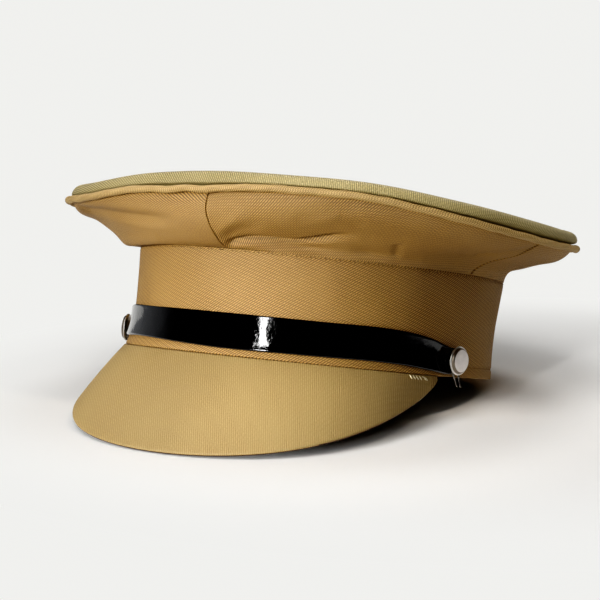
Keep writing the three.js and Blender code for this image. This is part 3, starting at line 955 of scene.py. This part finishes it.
# length and thickness of one stitch
seam_stitch = (1.1 * mm, 0.45 * mm)
hem_stitch = (1.5 * mm, 0.4 * mm)
bar_stitch = (2.6 * mm, 0.7 * mm)
bar_count = 6
bar_start = 0.935
bar_step = 0.0155
bar_inset = 1.3
bar_slant = 0.7
bar_stand = 0.05


def thread(name, colour):
    """Twisted thread with fine noise spots darker: painted shade between its plies."""
    material = bpy.data.materials.new(name)
    material.use_nodes = True
    tree = material.node_tree
    shader = tree.nodes["Principled BSDF"]
    spot = add_node(tree, "ShaderNodeTexCoord").outputs["Object"]
    ply = noise(tree, spot, 3000.0, 2.0)
    ply_shade = tuple(0.6 * c for c in colour[:3]) + (1,)
    tree.links.new(blend_colours(tree, ply, ply_shade, colour), shader.inputs["Base Color"])
    shader.inputs["Roughness"].default_value = 0.7
    shader.inputs["Specular IOR Level"].default_value = 0.1
    return material


def stitched(name, places, length, thickness, material):
    """A row of stitches as one piece: each is a slim rounded float of thread at a centre, lying along and out."""
    bm = bmesh.new()
    bmesh.ops.create_uvsphere(bm, u_segments=8, v_segments=6, radius=1.0)
    one = bpy.data.meshes.new("stitch")
    bm.to_mesh(one)
    for _ in places[1:]:
        bm.from_mesh(one)
    bm.verts.ensure_lookup_table()
    size = Matrix.Diagonal((length / 2, thickness / 2, thickness / 2.6, 1))
    count = len(one.vertices)
    for i, (centre, along, outward) in enumerate(places):
        along = Vector(along).normalized()
        across = Vector(outward).cross(along).normalized()
        basis = Matrix((along, across, along.cross(across))).transposed().to_4x4()
        lay = Matrix.Translation(centre) @ basis @ size
        for v in bm.verts[i * count : (i + 1) * count]:
            v.co = lay @ v.co
    bpy.data.meshes.remove(one)
    piece = finished(name, bm)
    piece.data.materials.append(material)
    return piece


def band_stitch(angle, height):
    """Where a stitch lies on the band: its centre, the way it runs and the way out."""
    angle, height = np.array(angle), np.array(height)
    centre = on_floor(band_face(angle, height) + band_normal(angle) * stitch_stand)
    ahead = on_floor(band_face(angle + 0.01, height)) - centre
    out = on_floor(band_face(angle, height) + band_normal(angle) * 5) - centre
    return centre, ahead, out


# The khaki thread is dark, well below the cloth's colour: painted shade of the needle holes along each row.
khaki_thread_painted_shade = thread("khaki_thread_painted_shade", (0.15, 0.08, 0.02, 1))
light_thread = thread("light_thread", (0.90, 0.78, 0.52, 1))
seam_angles = np.linspace(0, 2 * math.pi, 257)[:-1]
seam_rows = [band_stitch(angle, band_height - gap - stitch_drop) for angle in seam_angles]
seam_stitches = stitched("seam_stitches", seam_rows, *seam_stitch, khaki_thread_painted_shade)
hem_angles = np.radians(np.arange(80, 280, 1.4))
hem_rows = [band_stitch(angle, hem_height) for angle in hem_angles]
hem_stitches = stitched("hem_stitches", hem_rows, *hem_stitch, khaki_thread_painted_shade)

bar_rows = []
for side in (1, -1):
    for i in range(bar_count):
        turn = np.array(side * (bar_start - bar_step * i))
        inner, outer = peak_middle(turn, np.array(0.0)), peak_middle(turn, np.array(1.0))
        share = np.array((peak_tuck_in + bar_inset) / np.linalg.norm(outer - inner))
        spot = peak_middle(turn, share)
        beside = Vector(peak_middle(turn - side * 0.01, share) - spot).normalized()
        below = Vector(outer - inner).normalized()
        lift = below.cross(beside)
        lift *= math.copysign(1, lift.z)
        centre = Vector((spot + stand_offset * (1, 1, 0)) * mm) + lift * (peak_thickness / 2 + bar_stand) * mm
        bar_rows.append((centre, below - beside * bar_slant, lift))
bar_stitches = stitched("bar_stitches", bar_rows, *bar_stitch, light_thread)
stitches = (seam_stitches, hem_stitches, bar_stitches)


# Stage: a plain pale floor that fades into a pale surround, with soft studio light from the front and left. Most
# lamps are kept to some of the pieces, so that the shadows and glints fall as they do in the photo.
surround_tone = (0.95, 0.95, 0.93)
floor_radius = 3.0
lamp_distance = 1.6
warm_light = (1.0, 0.88, 0.76)
cap_front = (0.025, -0.1, 0.06)
crown_front = (0, -0.08, 0.06)
bm = bmesh.new()
bmesh.ops.create_circle(bm, cap_ends=True, radius=floor_radius, segments=96)
floor_mesh = bpy.data.meshes.new("floor")
bm.to_mesh(floor_mesh)
bm.free()
floor = bpy.data.objects.new("floor", floor_mesh)
bpy.context.scene.collection.objects.link(floor)
floor_paint = bpy.data.materials.new("floor_paint")
floor_paint.use_nodes = True
floor_tree = floor_paint.node_tree
floor_shader = floor_tree.nodes["Principled BSDF"]
floor_shader.inputs["Base Color"].default_value = (0.85, 0.84, 0.82, 1)
floor_shader.inputs["Roughness"].default_value = 0.9
floor_shader.inputs["Specular IOR Level"].default_value = 0.1
floor_place = add_node(floor_tree, "ShaderNodeTexCoord").outputs["Object"]
floor_reach = add_node(floor_tree, "ShaderNodeVectorMath", [floor_place, (0.075, 0.07, 0)], operation="DISTANCE")
floor_far = add_node(floor_tree, "ShaderNodeMapRange", [floor_reach.outputs["Value"], 0.15, 0.33, 0.0, 1.0])
floor_far.interpolation_type = "SMOOTHSTEP"
floor_glow = add_node(floor_tree, "ShaderNodeEmission", [(*surround_tone, 1), 1.0])
floor_blend = [floor_far.outputs[0], floor_shader.outputs[0], floor_glow.outputs[0]]
floor_surface = add_node(floor_tree, "ShaderNodeMixShader", floor_blend)
floor_tree.links.new(floor_surface.outputs[0], floor_tree.nodes["Material Output"].inputs["Surface"])
floor_mesh.materials.append(floor_paint)

world = bpy.data.worlds.new("studio")
bpy.context.scene.world = world
world.use_nodes = True
world_tree = world.node_tree
world_tree.nodes.clear()
surround = add_node(world_tree, "ShaderNodeBackground", [(*surround_tone, 1), 1.0])
fill = add_node(world_tree, "ShaderNodeBackground", [(1.0, 0.98, 0.95, 1), 0.02])
heading = add_node(world_tree, "ShaderNodeTexCoord").outputs["Generated"]
leftward = add_node(world_tree, "ShaderNodeVectorMath", [heading, (-0.985, 0.174, 0)], operation="DOT_PRODUCT")
left_glow = add_node(world_tree, "ShaderNodeMapRange", [leftward.outputs["Value"], 0.79, 0.985, 0.0, 0.4])
left_glow.interpolation_type = "SMOOTHSTEP"
sheen = add_node(world_tree, "ShaderNodeBackground", [(0.95, 0.97, 1.0, 1), left_glow.outputs[0]])
path = add_node(world_tree, "ShaderNodeLightPath").outputs
mirrored = add_node(world_tree, "ShaderNodeMixShader", [path["Is Glossy Ray"], fill.outputs[0], sheen.outputs[0]])
seen = [path["Is Camera Ray"], mirrored.outputs[0], surround.outputs[0]]
either = add_node(world_tree, "ShaderNodeMixShader", seen)
add_node(world_tree, "ShaderNodeOutputWorld", [either.outputs[0]])


def aimed(name, lamp, azimuth, elevation, power, target=(0, 0, 0.06)):
    """Hangs a lamp at lamp_distance from its target, in a direction with azimuth 0 at the cap's front."""
    lamp.energy = power
    box = bpy.data.objects.new(name, lamp)
    a, e = math.radians(azimuth), math.radians(elevation)
    direction = Vector((math.sin(a) * math.cos(e), -math.cos(a) * math.cos(e), math.sin(e)))
    box.location = Vector(target) + direction * lamp_distance
    box.rotation_euler = direction.to_track_quat("Z", "Y").to_euler()
    bpy.context.scene.collection.objects.link(box)
    return box


def soft_box(name, azimuth, elevation, power, width=0.7, height=0.7):
    lamp = bpy.data.lights.new(name, "AREA")
    lamp.shape = "RECTANGLE"
    lamp.size = width
    lamp.size_y = height
    return aimed(name, lamp, azimuth, elevation, power)


def beam(name, azimuth, elevation, power, target, spread=8.4, softness=0.12):
    """A soft-edged beam on one place of the cap or the floor."""
    lamp = bpy.data.lights.new(name, "SPOT")
    lamp.spot_size = math.radians(spread)
    lamp.spot_blend = 1.0
    lamp.shadow_soft_size = softness
    return aimed(name, lamp, azimuth, elevation, power, target)


def lights_only(name, pieces, lamps):
    """Keeps some lamps to some of the pieces."""
    group = bpy.data.collections.new(name)
    for piece in pieces:
        group.objects.link(piece)
    for lamp in lamps:
        lamp.light_linking.receiver_collection = group


cloth = (band, *quarters, crown_piping, crown_top, peak, *stitches)
crown = (band, *quarters, crown_piping, crown_top, *stitches)
key = beam("key", -25, 8, 372, cap_front)
low_front = soft_box("low_front", -15, 8, 4.8)
sheen_left = soft_box("sheen_left", -105, 55, 22, 1.2, 1.2)
window = soft_box("window", 7, 24, 8.5, 0.15, 0.8)
band_gloss = soft_box("band_gloss", 8, 22, 20, 0.5, 0.9)
top_sheen = soft_box("top_sheen", -160, 45, 14, 0.9, 0.9)
for card in (window, band_gloss, sheen_left, top_sheen):
    card.visible_diffuse = False
band_beam = beam("band_beam", 12, 8, 45, (0.034, -0.1, 0.05), 3.4, 0.02)
peak_beam = beam("peak_beam", -14, 24, 98, (0.068, -0.112, 0.02), 5.2, 0.015)
peak_glow = beam("peak_glow", 20, 45, 24, (0.059, -0.091, 0.013), 1.9, 0.02)
top_beam = beam("top_beam", 25, 40, 86, (0.065, -0.069, 0.116), 4.0, 0.05)
right_beam = beam("right_beam", 70, 50, 12, crown_front)
high_left = soft_box("high_left", -45, 65, 11)
high_front = soft_box("high_front", 30, 45, 7.7)
high_right = soft_box("high_right", 90, 65, 9)
overhead = soft_box("overhead", 0, 88, 1.5)
back = soft_box("back", 150, 25, 4)
metal_left = soft_box("metal_left", -80, 15, 4)
for lamp in (right_beam, high_front, high_right, overhead):
    lamp.visible_glossy = False
floor_lamps = (
    soft_box("floor_side", 30, 25, 7.0),
    soft_box("floor_front", 15, 45, 16.4),
    soft_box("floor_over", 30, 65, 3.2),
    soft_box("floor_high", 180, 65, 9.7),
    beam("floor_low", 8, 8, 313, cap_front, 4.0),
    beam("floor_near", 8, 20, 259, cap_front, 4.0),
)
warm_lamps = (
    beam("floor_right", 70, 50, 61, crown_front),
    beam("floor_edge", 80, 47, 43, (0.064, 0.014, 0), 2.7, 0.02),
)
for lamp in warm_lamps:
    lamp.data.color = warm_light
lights_only("lit_cloth", cloth, (key, low_front, sheen_left, band_gloss))
lights_only("lit_cap", (*cloth, *metals), (high_left, overhead, back))
lights_only("lit_crown", (*crown, *metals), (right_beam, high_front, high_right))
lights_only("lit_band", (band,), (band_beam,))
lights_only("lit_peak", (peak,), (peak_beam, peak_glow))
lights_only("lit_top", (crown_top,), (top_sheen, top_beam))
lights_only("lit_metals", metals, (metal_left,))
lights_only("lit_floor", (floor,), (*floor_lamps, *warm_lamps))

camera = bpy.data.cameras.new("camera")
camera.sensor_width = 36.0
camera.lens = 117.864
viewer = bpy.data.objects.new("camera", camera)
viewer.location = (0.4934, -0.8517, 0.2018)
aim = Vector((-0.00411, -0.00513, 0.05114))
viewer.rotation_euler = (viewer.location - aim).to_track_quat("Z", "Y").to_euler()
bpy.context.scene.collection.objects.link(viewer)
bpy.context.scene.camera = viewer

look = bpy.context.scene.view_settings
look.view_transform = "Standard"
look.use_curve_mapping = True
tone = look.curve_mapping.curves[3]
for shade, shown in ((0.02, 0.002), (0.05, 0.013), (0.1, 0.048), (0.2, 0.138), (0.4, 0.333), (0.7, 0.628)):
    tone.points.new(shade, shown)
tone.points[-1].location = (1.0, 0.926)
look.curve_mapping.update()
